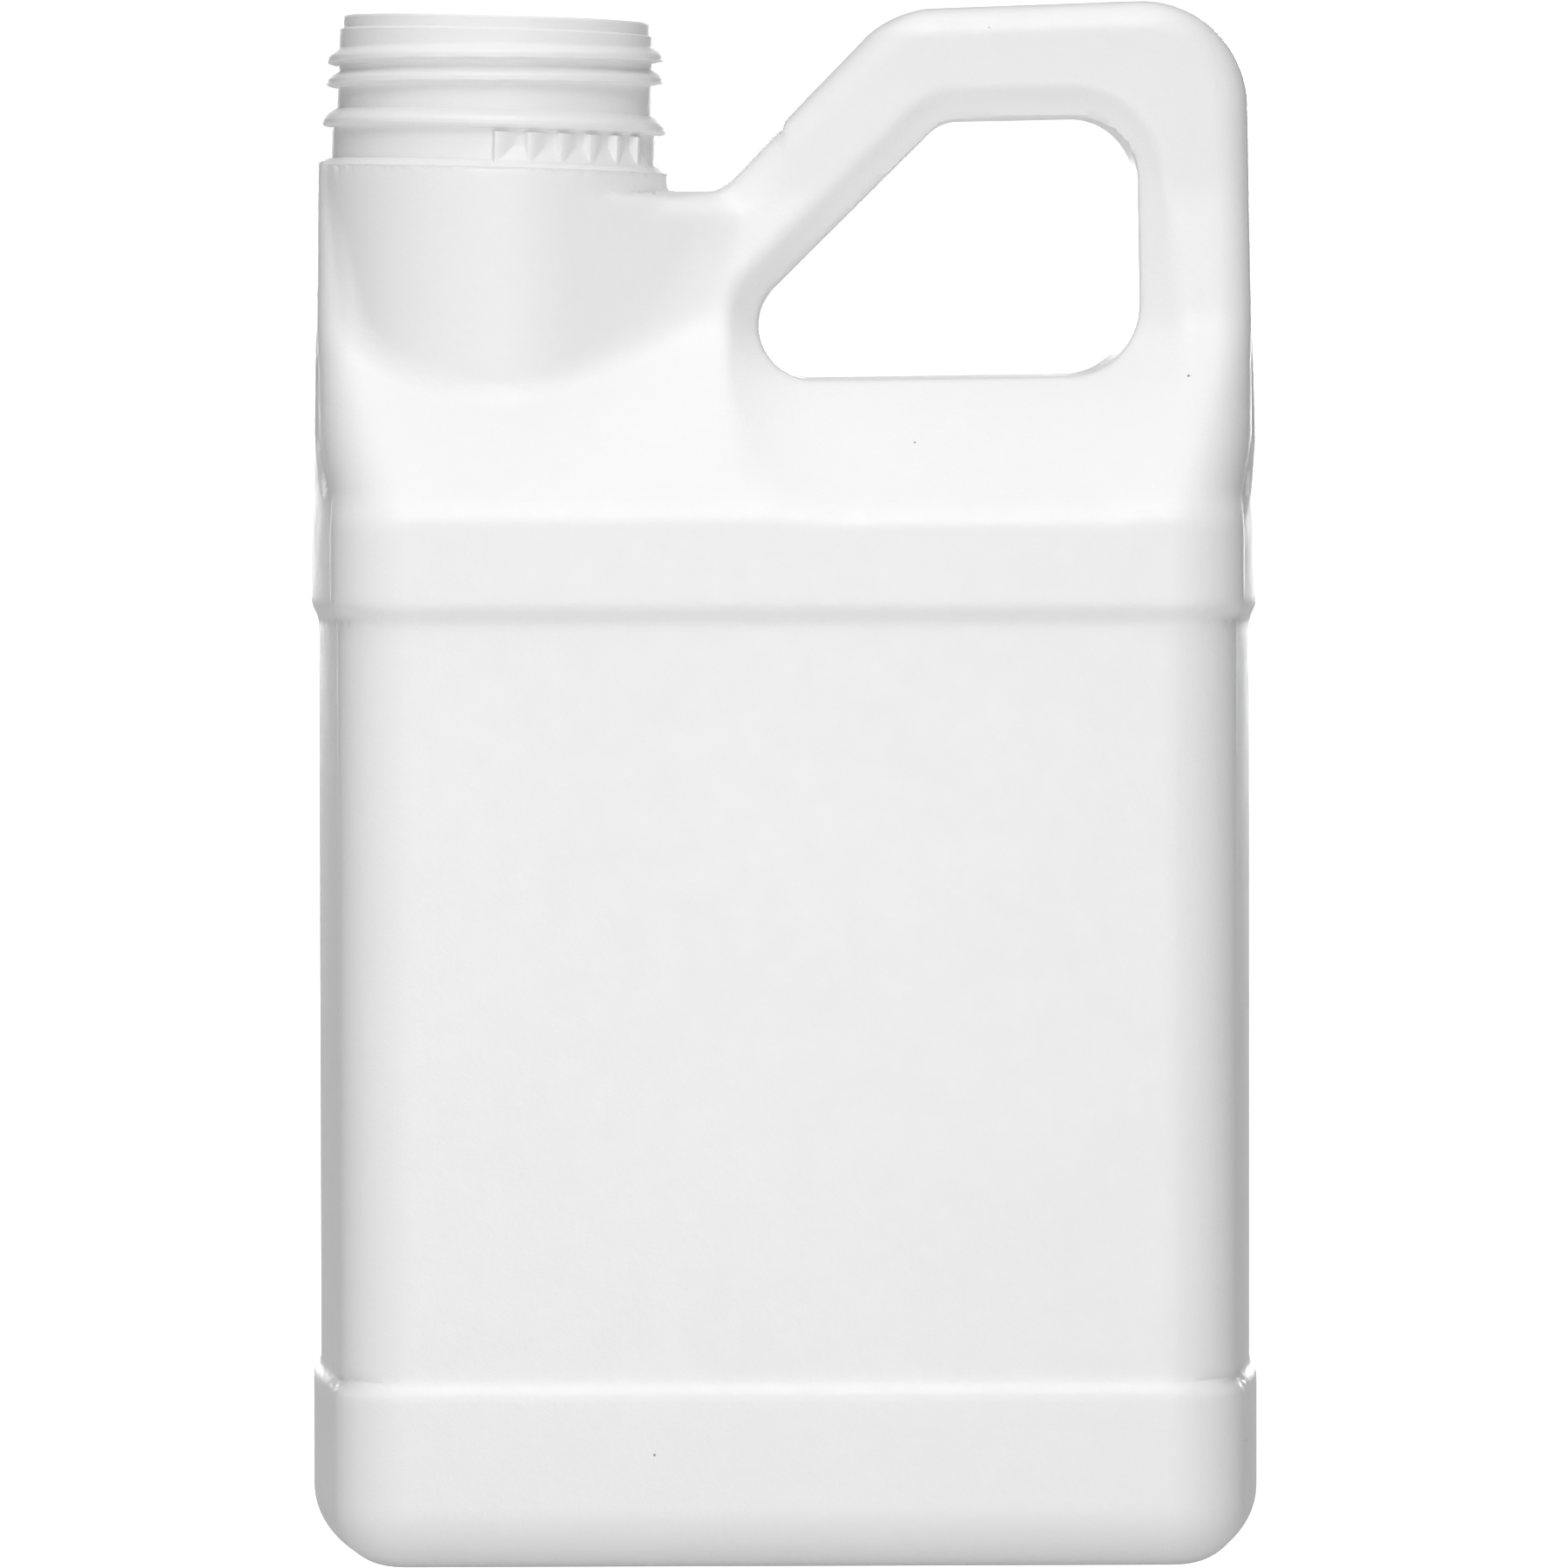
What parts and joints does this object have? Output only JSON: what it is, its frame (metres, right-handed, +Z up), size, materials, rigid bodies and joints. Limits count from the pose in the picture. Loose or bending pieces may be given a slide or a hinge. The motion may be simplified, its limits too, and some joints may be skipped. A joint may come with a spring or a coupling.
{
  "type": "f-style jug",
  "caption": "Tall rectangular blow-moulded jug with an open threaded neck at one side, a sloping shoulder, a set-back label panel and an integral grip handle.",
  "frame": {"origin": "middle of the base, on the surface that the jug stands on", "axes": "+Z up through the height, X across the broad front with the neck at -X and the handle at +X, Y the depth, with the mould's parting plane at Y = 0"},
  "size_m": [0.1782, 0.112, 0.2905],
  "materials": {
    "white_hdpe": "moulded, satin, faint orange peel"
  },
  "bodies": {
    "root": {"jug": "white_hdpe"}
  },
  "joints": []
}
